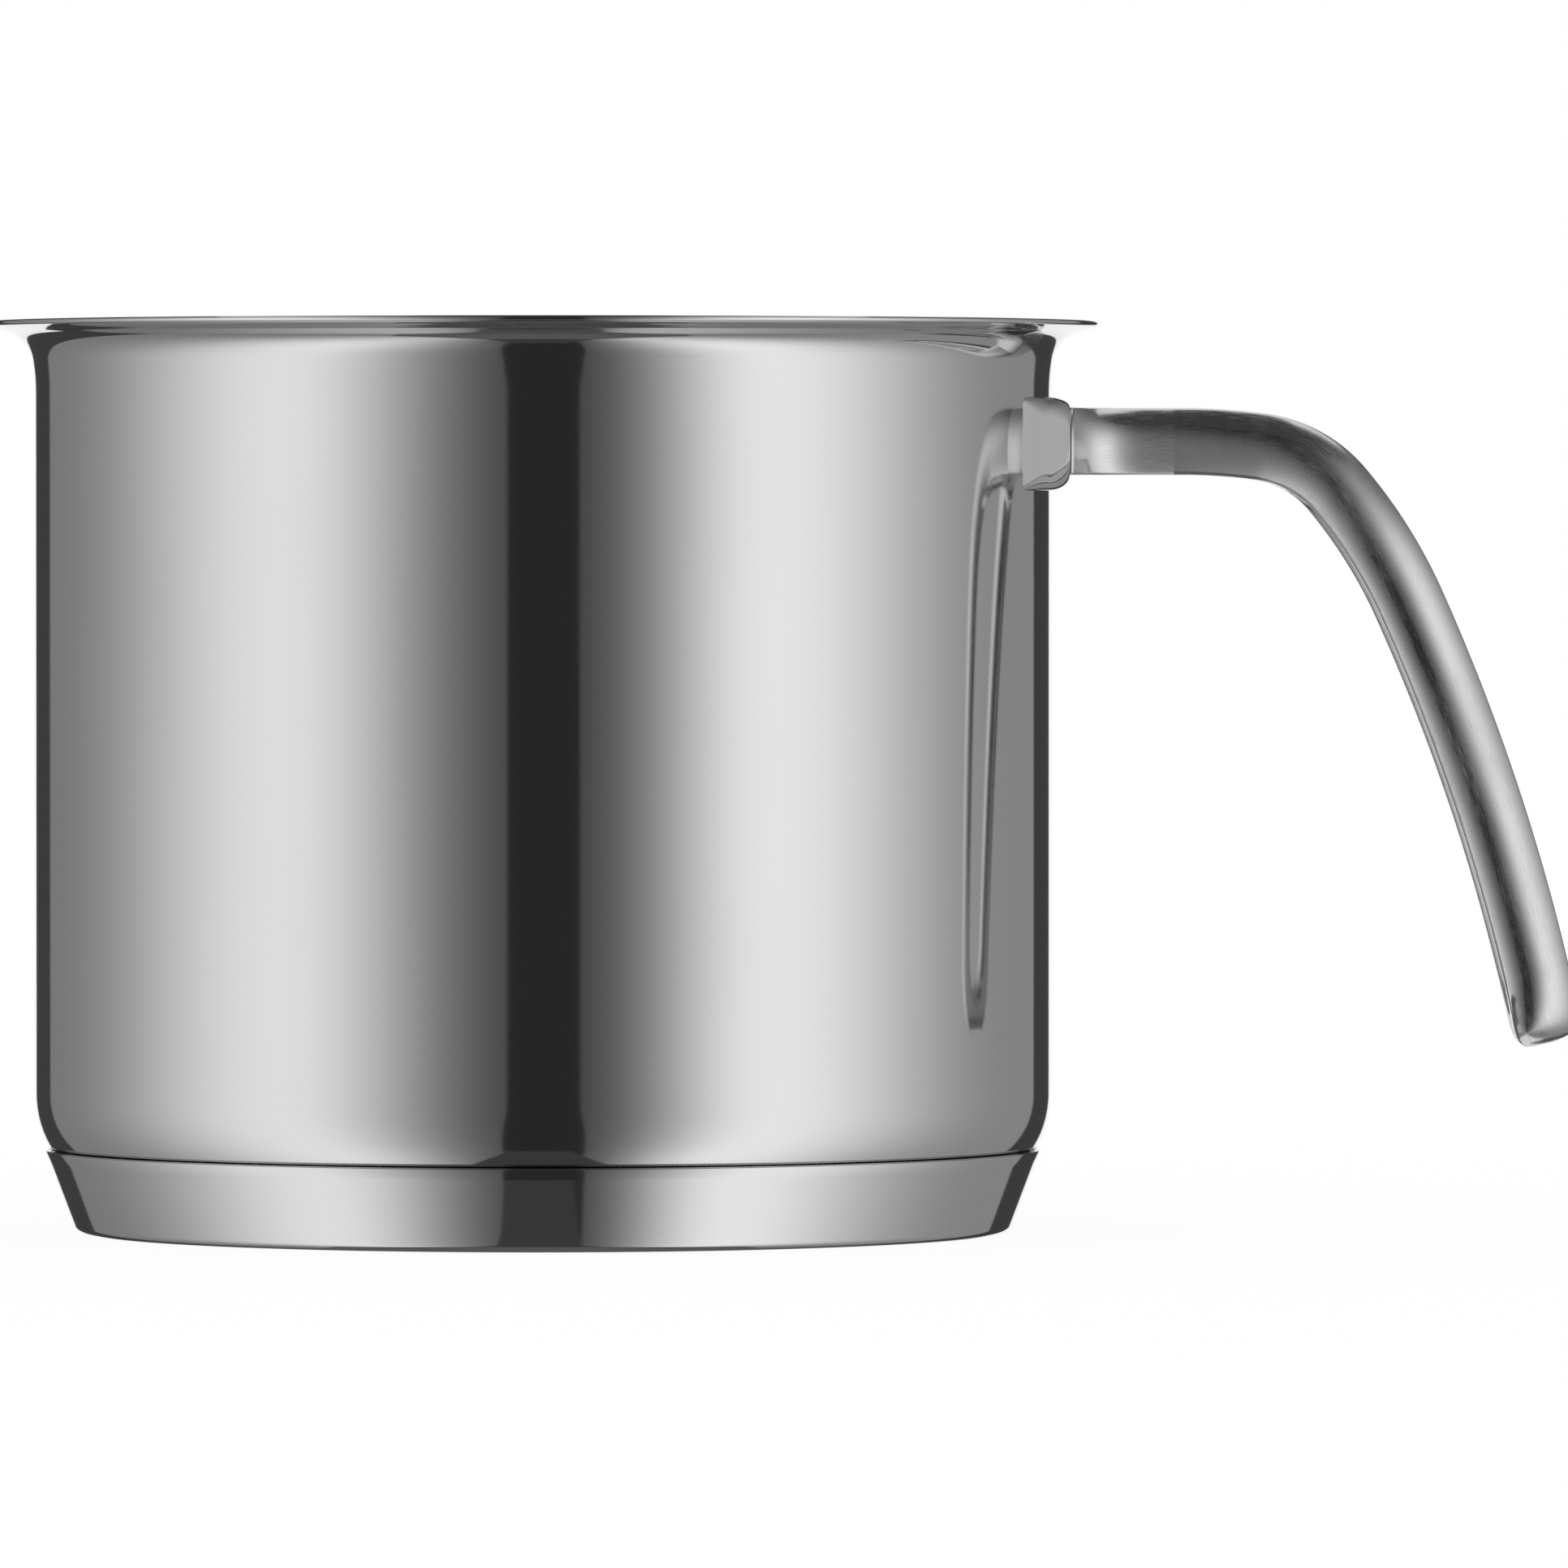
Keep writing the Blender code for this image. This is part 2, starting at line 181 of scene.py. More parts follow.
@dataclass(frozen=True)
class Metal:
    """A bare metal with the fine marks that its finishing left.

    Attributes:
        name: What the metal is and how its surface was made.
        tints: Two hex colours between which the surface drifts.
        roughness: Lowest and highest roughness.
        grain: Which way the marks run.
        mark_length: Length of a mark, in metres.
        mark_width: Distance from one mark to the next, in metres.
        mark_depth: Height of the marks, in metres.
        window: Noise level below which the metal is smoothest, and above which it is roughest.
        anisotropy: How much more a turned surface scatters across its marks.
        patch: Size of the areas in which tint and roughness drift, in metres.
    """

    DRIFT_DETAIL = 2.0
    DRIFT_SHARE = 0.5
    MARK_DETAIL = 3.0
    MARK_HARSHNESS = 0.6

    name: str
    tints: tuple[str, str]
    roughness: tuple[float, float]
    grain: Grain
    mark_length: float
    mark_width: float
    mark_depth: float
    window: tuple[float, float] = (0.45, 1.05)
    anisotropy: float = 0.0
    patch: float = 0.030

    def marks_place(self, tree: NodeTree) -> Node:
        """Stretch coordinates along the marks.

        Args:
            tree: The material's tree.

        Returns:
            The node that gives them, counted in marks.
        """
        if self.grain is Grain.RANDOM:
            place = add_node(tree, "ShaderNodeTexCoord").outputs["Object"]
            scale = (1 / self.mark_width,) * 3
        else:
            place = add_node(tree, "ShaderNodeUVMap", uv_map=MAP_NAME)
            along, across = 1 / self.mark_length, 1 / self.mark_width
            round_axis = self.grain is Grain.ROUND_AXIS
            scale = (along, across, 1.0) if round_axis else (across, along, 1.0)
        return add_node(tree, "ShaderNodeMapping", {"Vector": place, "Scale": scale},
                        vector_type="POINT")

    def material(self) -> Material:
        """Make the material.

        Returns:
            A material with a Principled shader and procedural marks.
        """
        material, tree = new_material(self.name)
        add = partial(add_node, tree)
        place = add("ShaderNodeTexCoord").outputs["Object"]
        drift = add("ShaderNodeTexNoise",
                    {"Vector": place, "Scale": 1 / self.patch, "Detail": self.DRIFT_DETAIL})
        tint = add("ShaderNodeMix",
                   {"Factor": drift, "A": linear(self.tints[0]), "B": linear(self.tints[1])},
                   data_type="RGBA")
        marks = add("ShaderNodeTexNoise",
                    {"Vector": self.marks_place(tree), "Scale": 1.0, "Detail": self.MARK_DETAIL,
                     "Roughness": self.MARK_HARSHNESS})
        both = add(MATH, {0: drift, 1: self.DRIFT_SHARE, 2: marks}, operation="MULTIPLY_ADD")
        rough = add("ShaderNodeMapRange",
                    {"Value": both, "From Min": self.window[0], "From Max": self.window[1],
                     "To Min": self.roughness[0], "To Max": self.roughness[1]})
        bump = add("ShaderNodeBump",
                   {"Strength": 1.0, "Distance": self.mark_depth, "Height": marks})
        inputs = {"Base Color": tint, "Metallic": 1.0, "Roughness": rough, "Normal": bump}
        if self.anisotropy:
            inputs["Anisotropic"] = self.anisotropy
            inputs["Tangent"] = add("ShaderNodeTangent", direction_type="RADIAL", axis="Z")
        add("ShaderNodeOutputMaterial", {"Surface": add("ShaderNodeBsdfPrincipled", inputs)})
        return material


# Real polishing marks are up to 0.1 mm wide, finer than a pixel. The satin ones keep their real
# width, for their haze. The others are drawn coarser, 0.3 to 1 mm, so that they show.

# Chrome-nickel steel buffed to a mirror: sharp reflections with the least haze.
MIRROR_STEEL = Metal("mirror_polished_stainless_steel", ("D3D3D3", "D6D6D6"), (0.05, 0.08),
                     Grain.ROUND_AXIS, 0.020, 0.00040, 0.02 * MICRON)
# The same steel on the small foot, polished by hand: marks run in no one direction.
HAND_POLISHED_STEEL = Metal("hand_polished_stainless_steel", ("D1D1D1", "D5D5D5"), (0.06, 0.10),
                            Grain.RANDOM, 0.001, 0.0010, 0.02 * MICRON)
# Cast steel with a fine lengthwise polish: clear reflections under a haze from the duller marks.
SATIN_STEEL = Metal("satin_polished_cast_stainless_steel", ("CFCFCF", "D3D3D3"), (0.11, 0.46),
                    Grain.LENGTHWISE, 0.0030, 0.00003, 0.01 * MICRON, window=(0.72, 0.94))
# The inside, ground on a turning table: fine rings, and light drawn out across them.
SPUN_STEEL = Metal("spun_brushed_stainless_steel", ("C9C9C8", "D0D0CF"), (0.20, 0.30),
                   Grain.ROUND_AXIS, 0.015, 0.00030, 0.6 * MICRON, anisotropy=0.55)
# Bare sheet aluminium from the rolling mill: dull, with short streaks.
ROLLED_ALUMINIUM = Metal("rolled_aluminium", ("CFCFD1", "D9D9DA"), (0.34, 0.46),
                         Grain.RANDOM, 0.004, 0.0008, 2.0 * MICRON)


class Outline:
    """A row of points drawn with straight runs and arcs, each cut finely."""

    RUN_STEP = 0.0016
    ARC_STEP = math.radians(4)

    def __init__(self, start: Point) -> None:
        """Start the row at its first point."""
        self.points = [start]

    def run(self, end: Point) -> "Outline":
        """Draw a straight run.

        Args:
            end: Where it ends.

        Returns:
            This outline.
        """
        start = self.points[-1]
        count = max(1, math.ceil(math.dist(start, end) / self.RUN_STEP))
        for k in range(1, count + 1):
            share = k / count
            self.points.append((start[0] + (end[0] - start[0]) * share,
                                start[1] + (end[1] - start[1]) * share))
        return self

    def arc(self, radii: Point, start: float, end: float) -> "Outline":
        """Draw an arc of a circle or an upright ellipse, from the last point on.

        Args:
            radii: Its half width and half height.
            start: Angle at which it starts, counted from the first axis.
            end: Angle at which it ends.

        Returns:
            This outline.
        """
        x = self.points[-1][0] - radii[0] * math.cos(start)
        y = self.points[-1][1] - radii[1] * math.sin(start)
        count = max(2, math.ceil(abs(end - start) / self.ARC_STEP))
        for k in range(1, count + 1):
            turn = start + (end - start) * k / count
            self.points.append((x + radii[0] * math.cos(turn), y + radii[1] * math.sin(turn)))
        return self


class TurnedForm:
    """Geometry Nodes that turn an outline about the pan's axis into a closed form."""

    WELD = 8 * MICRON

    def __init__(self) -> None:
        """Build the tree and its named inputs."""
        self.tree = bpy.data.node_groups.new("turned_form", "GeometryNodeTree")
        face = self.tree.interface
        face.new_socket("Outline", in_out="INPUT", socket_type="NodeSocketGeometry")
        for name, kind in (("Columns", "Int"), ("Inside rows", "Int"), ("Girth", "Float"),
                           ("Weld", "Float"), ("Outside finish", "Material"),
                           ("Inside finish", "Material")):
            face.new_socket(name, in_out="INPUT", socket_type="NodeSocket" + kind)
        face.new_socket("Form", in_out="OUTPUT", socket_type="NodeSocketGeometry")
        self.build()

    def build(self) -> None:
        """Lay a flat grid, read the outline for each row, and bend the grid round the axis.

        The outline's points hold radius, way along the outline, and height.
        """
        add = partial(add_node, self.tree)
        given = add("NodeGroupInput").outputs
        rows = add("GeometryNodeAttributeDomainSize", {"Geometry": given["Outline"]},
                   component="MESH").outputs["Point Count"]
        columns = add(MATH, {0: given["Columns"], 1: 1.0}, operation="ADD")
        last_row = add(MATH, {0: rows, 1: 1.0}, operation="SUBTRACT")
        grid = add("GeometryNodeMeshGrid",
                   {"Size X": 1.0, "Size Y": 1.0, "Vertices X": rows, "Vertices Y": columns})
        spot = add("ShaderNodeSeparateXYZ", {"Vector": add("GeometryNodeInputPosition")}).outputs
        row_share, turn_share = (
            add(MATH, {0: spot[axis], 1: 0.5}, operation="ADD") for axis in "XY")
        row, turn, round_way = (
            add(MATH, {0: share, 1: whole}, operation="MULTIPLY")
            for share, whole in ((row_share, last_row), (turn_share, math.tau),
                                 (turn_share, given["Girth"])))
        row_number = add(MATH, {0: row}, operation="ROUND")
        place = add("GeometryNodeSampleIndex",
                    {"Geometry": given["Outline"], "Index": row_number,
                     "Value": add("GeometryNodeInputPosition")},
                    data_type="FLOAT_VECTOR", clamp=True)
        profile = add("ShaderNodeSeparateXYZ", {"Vector": place}).outputs
        unrolled = add("ShaderNodeCombineXYZ", {"X": round_way, "Y": profile["Y"]})
        mapped = add("GeometryNodeStoreNamedAttribute",
                     {"Geometry": grid, "Name": MAP_NAME, "Value": unrolled},
                     data_type="FLOAT2", domain="CORNER")
        inside = add("FunctionNodeCompare", {0: row, 1: given["Inside rows"]},
                     data_type="FLOAT", operation="LESS_THAN")
        marked = add("GeometryNodeStoreNamedAttribute",
                     {"Geometry": mapped, "Name": "inside", "Value": inside},
                     data_type="BOOLEAN", domain="FACE")
        x, y = (
            add(MATH, {0: profile["X"], 1: add(MATH, {0: turn}, operation=wave)},
                operation="MULTIPLY")
            for wave in ("COSINE", "SINE"))
        bent = add("ShaderNodeCombineXYZ", {"X": x, "Y": y, "Z": profile["Z"]})
        turned = add("GeometryNodeSetPosition", {"Geometry": marked, "Position": bent})
        welded = add("GeometryNodeMergeByDistance", {"Geometry": turned, "Distance": given["Weld"]})
        smooth = add("GeometryNodeSetShadeSmooth", {"Geometry": welded})
        real = add("GeometryNodeRealizeInstances", {"Geometry": smooth})
        outer = add("GeometryNodeSetMaterial",
                    {"Geometry": real, "Material": given["Outside finish"]})
        is_inside = add("GeometryNodeInputNamedAttribute", {"Name": "inside"}, data_type="BOOLEAN")
        inner = add("GeometryNodeSetMaterial",
                    {"Geometry": outer, "Selection": is_inside,
                     "Material": given["Inside finish"]})
        add("NodeGroupOutput", {"Form": inner})

    def make(self, name: str, outline: list[Point], columns: int, inside_rows: int,
             outside: Material, inside: Material) -> Object:
        """Turn one outline.

        Args:
            name: The piece's name.
            outline: Its (radius, height) points, from the axis round the section to the axis.
            columns: Steps round the axis.
            inside_rows: How many rows, counted from the outline's start, take the inside finish.
            outside: Finish of the outside.
            inside: Finish of the inside.

        Returns:
            The turned piece, a plain mesh.
        """
        points = [(radius, way, height)
                  for (radius, height), way in zip(outline, ways_along(outline))]
        mesh = bpy.data.meshes.new(name + "_outline")
        mesh.from_pydata(points, [(k, k + 1) for k in range(len(points) - 1)], [])
        carrier = add_piece(name + "_outline", mesh)
        modifier = carrier.modifiers.new("turn", "NODES")
        modifier.node_group = self.tree
        values = {"Columns": columns, "Inside rows": inside_rows,
                  "Girth": math.tau * max(radius for radius, height in outline),
                  "Weld": self.WELD, "Outside finish": outside, "Inside finish": inside}
        for socket in self.tree.interface.items_tree:
            if socket.name in values:
                modifier[socket.identifier] = values[socket.name]
        turned = baked(carrier)
        bpy.data.meshes.remove(mesh)
        turned.name = name
        turned.attributes.remove(turned.attributes["inside"])
        return add_piece(name, turned)


def add_piece(name: str, mesh: Mesh) -> Object:
    """Link a mesh into the scene as an object at the origin.

    Args:
        name: The object's name.
        mesh: The mesh.

    Returns:
        The object.
    """
    piece = bpy.data.objects.new(name, mesh)
    bpy.context.scene.collection.objects.link(piece)
    return piece


def seat(piece: Object, node: str) -> None:
    """Let a finished piece stand for its solid and ride on the pan's body.

    Args:
        piece: The finished piece.
        node: The solid that it stands for.
    """
    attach(piece, ROOT_BODY)
    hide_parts(node)
    LOG.info("%s: %d faces, stands for %s", piece.name, len(piece.data.polygons), node)


def eased(share: float) -> float:
    """Ease a share from 0 to 1."""
    share = min(max(share, 0.0), 1.0)
    return share * share * (3 - 2 * share)


@dataclass
class Vessel:
    """The drawn vessel: one steel sheet with a flared pouring rim and a rounded bottom corner."""

    columns: int = 288
    inner_radius: float = 0.0700
    sheet: float = 0.0008
    corner_across: float = 0.0105
    corner_up: float = 0.0130
    throat_radius: float = 0.0265
    throat_sweep: float = math.radians(9.4)
    flare_radius: float = 0.0050
    flare_sweep: float = math.radians(65.3)
    lip_reach: float = 0.002585

    def __post_init__(self) -> None:
        """Take the height and the underside from the solid."""
        low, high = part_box("pot_body")
        self.underside = low.z
        self.height = high.z
        self.radius = self.inner_radius + self.sheet
        self.corner_top = self.underside + self.corner_up

    def flare(self, inset: float) -> list[Point]:
        """Draw the flare of one surface of the sheet.

        Args:
            inset: How far the surface lies inside the vessel's outer surface.

        Returns:
            Its points, from the wall up to the lip's end.
        """
        slope = self.throat_sweep + self.flare_sweep
        throat, bend = self.throat_radius + inset, self.flare_radius + inset
        edge_rise = self.sheet / 2 * (1 - math.sin(slope))
        lip_end = self.height - edge_rise - (self.sheet - inset) * math.sin(slope)
        wall_end = (lip_end - self.lip_reach * math.cos(slope)
                    - bend * (math.sin(slope) - math.sin(self.throat_sweep))
                    - throat * math.sin(self.throat_sweep))
        line = Outline((self.radius - inset, wall_end))
        line.arc((throat, throat), math.pi, math.pi - self.throat_sweep)
        line.arc((bend, bend), math.pi - self.throat_sweep, math.pi - slope)
        end = line.points[-1]
        line.run((end[0] + self.lip_reach * math.sin(slope),
                  end[1] + self.lip_reach * math.cos(slope)))
        return line.points

    def outline(self) -> tuple[list[Point], int]:
        """Draw the sheet's outline.

        Returns:
            Its points, inside first, and how many rows of them are inside.
        """
        across = self.corner_across - self.sheet
        up = self.corner_up - self.sheet
        floor = self.corner_top - up
        inner, outer = self.flare(self.sheet), self.flare(0.0)
        line = Outline((0.0, floor)).run((self.inner_radius - across, floor))
        line.arc((across, up), -math.pi / 2, 0.0)
        line.run(inner[0])
        line.points += inner[1:]
        inside_rows = len(line.points) - 1
        slope = self.throat_sweep + self.flare_sweep
        line.arc((self.sheet / 2,) * 2, math.pi - slope, -slope)
        line.points.pop()
        line.points += outer[::-1]
        line.run((self.radius, self.corner_top))
        line.arc((self.corner_across, self.corner_up), 0.0, -math.pi / 2)
        line.run((0.0, self.underside))
        return line.points, inside_rows

    def build(self, turner: TurnedForm) -> None:
        """Turn and dress the vessel.

        Args:
            turner: The tree that turns outlines.
        """
        points, inside_rows = self.outline()
        piece = turner.make("vessel", points, self.columns, inside_rows,
                            MIRROR_STEEL.material(), SPUN_STEEL.material())
        seat(piece, "pot_body")


@dataclass
class Base:
    """The sandwich base: a pressed steel cap round an aluminium disc."""

    columns: int = 288
    sheet: float = 0.0006
    lip_sheet: float = 0.0005
    taper: float = math.radians(20.3)
    lip_seat: float = 0.0004
    foot_round: float = 0.0015

    def __post_init__(self) -> None:
        """Take the cap's height and width from the solid."""
        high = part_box("base_cap")[1]
        self.height = high.z
        self.lip_radius = high.x

    def radius_at(self, height: float) -> float:
        """Return the outer radius at a height on the tapered side."""
        return self.lip_radius - (self.height - height) * math.tan(self.taper)

    def foot(self, inset: float) -> list[Point]:
        """Draw the foot corner of one surface of the sheet.

        Args:
            inset: How far the surface lies inside the cap's outer surface.

        Returns:
            Its points, from its side to its underside.
        """
        wall = inset / math.cos(self.taper)
        bend = self.foot_round - inset / 2
        sweep = math.pi / 2 - self.taper
        centre = self.radius_at(inset) - wall - bend * math.tan(sweep / 2)
        line = Outline((centre + bend * math.cos(self.taper),
                        inset + bend - bend * math.sin(self.taper)))
        return line.arc((bend, bend), -self.taper, -math.pi / 2).points

    def outline(self) -> tuple[list[Point], int]:
        """Draw the cap's outline.

        Returns:
            Its points, inside first, and how many rows of them are inside.
        """
        inner, outer = self.foot(self.sheet)[::-1], self.foot(0.0)
        half = self.lip_sheet / 2
        line = Outline((0.0, self.sheet)).run(inner[0])
        line.points += inner[1:]
        line.run((self.lip_radius - self.lip_sheet - self.lip_seat, self.height - half))
        line.run((self.lip_radius - self.lip_sheet, self.height - half))
        inside_rows = len(line.points) - 1
        line.arc((half, half), math.pi, 0.0)
        line.run(outer[0])
        line.points += outer[1:]
        line.run((0.0, 0.0))
        return line.points, inside_rows

    def build(self, turner: TurnedForm) -> None:
        """Turn and dress the cap, and dress the core.

        Args:
            turner: The tree that turns outlines.
        """
        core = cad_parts["base_core"]
        core.data.materials.clear()
        core.data.materials.append(ROLLED_ALUMINIUM.material())
        LOG.info("base_core: dressed as rolled aluminium")
        points, inside_rows = self.outline()
        steel = bpy.data.materials[MIRROR_STEEL.name]
        piece = turner.make("cap", points, self.columns, inside_rows, steel, steel)
        seat(piece, "base_cap")


@dataclass
class Loop:
    """Course and section of the cast handle: a solid neck that opens into a loop of two rails."""

    run_length: float = 0.0155
    arcs: tuple[Point, ...] = ((0.0812, math.radians(7.7)), (0.0173, math.radians(42.5)),
                               (0.0690, math.radians(15.6)))
    slope_radius: float = 0.2865
    slope_length: float = 0.0643
    thickness: float = 0.0094
    skin: float = 0.00004
    neck_width: float = 0.0175
    neck_place: float = 0.0143
    neck_slopes: Point = (0.145, 0.160)
    root_flare: float = 0.0047
    root_flare_power: float = 5.1
    root_sink: float = 0.0004
    grip_width: float = 0.0272
    grip_start: float = 0.0497
    grip_round: float = 0.0006
    end_width: float = 0.0198
    end_round: float = 0.0045
    end_plan_round: float = 0.0100
    end_narrowing: float = 0.7
    end_lean: float = 0.5
    end_power: int = 3
    rail_width: float = 0.0055
    slot_start: float = 0.0318
    slot_end_from_tip: float = 0.0052
    slot_round: float = 0.0080
    rim_round: float = 0.0005
    wall_crown_outer: float = 0.0009
    wall_crown_inner: float = 0.0018
    flank_radius: float = 0.0073
    flank_low: float = math.radians(23)
    flank_high: float = math.radians(51)
    outer_round: float = 0.0012
    inner_round: float = 0.0007
    step: float = 0.0008
    least_step: float = 0.0002
    tip_rings: int = 30
    slot_rings: int = 20
    rim_rings: int = 5
    wall_steps: int = 8
    face_steps: int = 8
    weld: float = 2 * MICRON

    def __post_init__(self) -> None:
        """Take the root's place from the solid, and join the arcs with the slope."""
        low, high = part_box("handle_loop")
        self.root_x = low.x
        self.run_height = high.z - self.thickness / 2
        stretches = [(radius, radius * sweep) for radius, sweep in self.arcs]
        self.stretches = [*stretches, (self.slope_radius, self.slope_length)]
        self.length = self.run_length + sum(length for radius, length in self.stretches)
        self.slot_end = self.length - self.slot_end_from_tip

    def place(self, distance: float) -> tuple[Vector, float]:
        """Follow the middle line.

        Args:
            distance: How far it is from the root.

        Returns:
            The place there, and the slope.
        """
        run = min(distance, self.run_length)
        spot = Vector((self.root_x + run, 0.0, self.run_height))
        slope, left = 0.0, distance - run
        for radius, length in self.stretches:
            part = min(left, length)
            turned = slope + part / radius
            spot.x += radius * (math.sin(turned) - math.sin(slope))
            spot.z += radius * (math.cos(turned) - math.cos(slope))
            slope, left = turned, left - part
        return spot, slope

    def at(self, distance: float, sideways: float, outward: float) -> Vector:
        """Return a point set off sideways and outward from the middle line."""
        spot, slope = self.place(distance)
        return spot + Vector((math.sin(slope) * outward, sideways, math.cos(slope) * outward))

    def width(self, distance: float) -> float:
        """Say how wide the handle is: flared at the root, narrow at the neck, then wide.

        Args:
            distance: How far it is from the root.

        Returns:
            The width.
        """
        past = distance - self.neck_place
        flare = self.root_flare * max(-past / self.neck_place, 0.0) ** self.root_flare_power
        neck = self.neck_width / 2 + self.neck_slopes[past > 0] * abs(past) + flare
        along = (distance - self.grip_start) / (self.length - self.grip_start)
        grip = (self.grip_width + (self.end_width - self.grip_width) * along) / 2
        if distance < self.neck_place:
            return 2 * neck
        nearer = math.exp(-neck / self.grip_round) + math.exp(-grip / self.grip_round)
        return -2 * self.grip_round * math.log(nearer)

    def halves(self, distance: float) -> tuple[float, float, float]:
        """Say how large the section is, drawn in towards the tip.

        Args:
            distance: How far it is from the root.

        Returns:
            The half width, and how far the inner and outer faces lie from the middle.
        """
        half_width = self.width(distance) / 2
        tip = max(distance - self.length + self.end_round, 0.0) / self.end_round
        plan = max(distance - self.length + self.end_plan_round, 0.0) / self.end_plan_round
        plan_off = half_width * self.end_narrowing * (1 - math.sqrt(1 - min(plan, 1.0) ** 2))
        half = self.thickness / 2 - self.skin
        round_off = half * (1 - (1 - min(tip, 1.0) ** self.end_power) ** (1 / self.end_power))
        lean = round_off * self.end_lean
        return half_width - plan_off, half - round_off + lean, half - round_off - lean

    def slot(self, distance: float) -> tuple[float, float]:
        """Return the slot's half width at its straight sides, and how far its end draws it in."""
        from_end = min(distance - self.slot_start, self.slot_end - distance)
        return self.width(distance) / 2 - self.rail_width, max(1 - from_end / self.slot_round, 0.0)

    def slot_half(self, distance: float) -> float:
        """Return the slot's half width."""
        straight, drawn_in = self.slot(distance)
        return straight * math.sqrt(max(1 - drawn_in ** 2, 0.0))

    def drop(self, distance: float, sideways: float) -> float:
        """Round the slot's rim.

        Args:
            distance: How far it is from the root.
            sideways: How far to the side, as if the slot's wall had no crown.

        Returns:
            How far the rim lies below the handle's face there.
        """
        straight, drawn_in = self.slot(distance)
        reach = (math.hypot(drawn_in, sideways / straight) - 1) * straight
        inward = min(max(self.rim_round - reach, 0.0), self.rim_round)
        return self.rim_round - math.sqrt(self.rim_round ** 2 - inward ** 2)

    def stations(self) -> list[float]:
        """Choose where the rings lie: closer together at the slot's ends and the tip.

        Returns:
            Their distances from the root.
        """
        last_rim = self.slot_end + self.rim_round
        tip = [self.length - left for left in quarter_steps(self.end_plan_round, self.tip_rings)]
        spots = [spot for spot in tip[1:] if not 0 < spot - last_rim <= self.least_step]
        spots.append(self.neck_place)
        for end, side in ((self.slot_start, 1), (self.slot_end, -1)):
            for k in range(-self.rim_rings, 0):
                spots.append(end + side * self.rim_round * k / self.rim_rings)
            for into in quarter_steps(self.slot_round, self.slot_rings):
                spots.append(end + side * into)
        rounded = ((self.slot_start - self.rim_round, self.slot_start + self.slot_round),
                   (self.slot_end - self.slot_round, last_rim))
        here = -self.root_sink
        while here < self.slot_end:
            if not any(low < here < high for low, high in rounded):
                spots.append(here)
            here += self.step
        spots.sort()
        return spots[:1] + [far for near, far in zip(spots, spots[1:]) if far - near > self.weld]

    def face(self, distance: float, edge: float, height: float, crown: float) -> list[Point]:
        """Lay points across a face of the handle.

        Args:
            distance: How far it is from the root.
            edge: Where the flat face ends.
            height: How far the face lies from the middle line.
            crown: How far the slot's rim lies back from the crown of its wall.

        Returns:
            The points, from the slot or the middle to the face's edge.
        """
        half = self.slot_half(distance)
        crown *= half / self.slot(distance)[0]
        start = half + crown + self.rim_round
        points = [(half + crown + way, height - self.drop(distance, half + way))
                  for way in quarter_steps(self.rim_round, self.rim_rings)]
        for k in range(1, self.face_steps):
            side = start + (edge - start) * k / self.face_steps
            points.append((side, height - self.drop(distance, side - crown)))
        return points

    def skin_points(self, distance: float) -> list[Point]:
        """Draw the right half of the section.

        Args:
            distance: How far it is from the root.

        Returns:
            Its points, from the slot's outer rim round to its inner rim.
        """
        half_width, to_inner, to_outer = self.halves(distance)
        high, low = self.flank_high, self.flank_low
        height = (self.outer_round * (1 - math.sin(high)) + self.inner_round * (1 - math.sin(low))
                  + self.flank_radius * (math.sin(high) + math.sin(low)))
        scale = (to_inner + to_outer) / height
        corner, flank, seam = (radius * scale for radius in (
            self.outer_round, self.flank_radius, self.inner_round))
        line = Outline((half_width - flank * (1 - math.cos(high)) - corner * math.cos(high),
                        to_outer))
        line.arc((corner, corner), math.pi / 2, high)
        line.arc((flank, flank), high, -low)
        line.arc((seam, seam), -low, -math.pi / 2)
        outer = self.face(distance, line.points[0][0], to_outer, self.wall_crown_outer)
        inner = self.face(distance, line.points[-1][0], to_inner, self.wall_crown_inner)
        return outer + line.points + [(side, -out) for side, out in inner[::-1]]

    def wall_points(self, distance: float, rims: tuple[Point, Point]) -> list[Point]:
        """Draw the slot's wall, crowned in the middle.

        Args:
            distance: How far it is from the root.
            rims: Its inner and its outer rim.

        Returns:
            Its points between the rims.
        """
        half = self.slot_half(distance)
        points = []
        for k in range(1, self.wall_steps):
            share = 2 * k / self.wall_steps - 1
            rim = rims[0] if share < 0 else rims[1]
            out = rims[0][1] + (rims[1][1] - rims[0][1]) * k / self.wall_steps
            points.append((half + (rim[0] - half) * share ** 2, out))
        return points

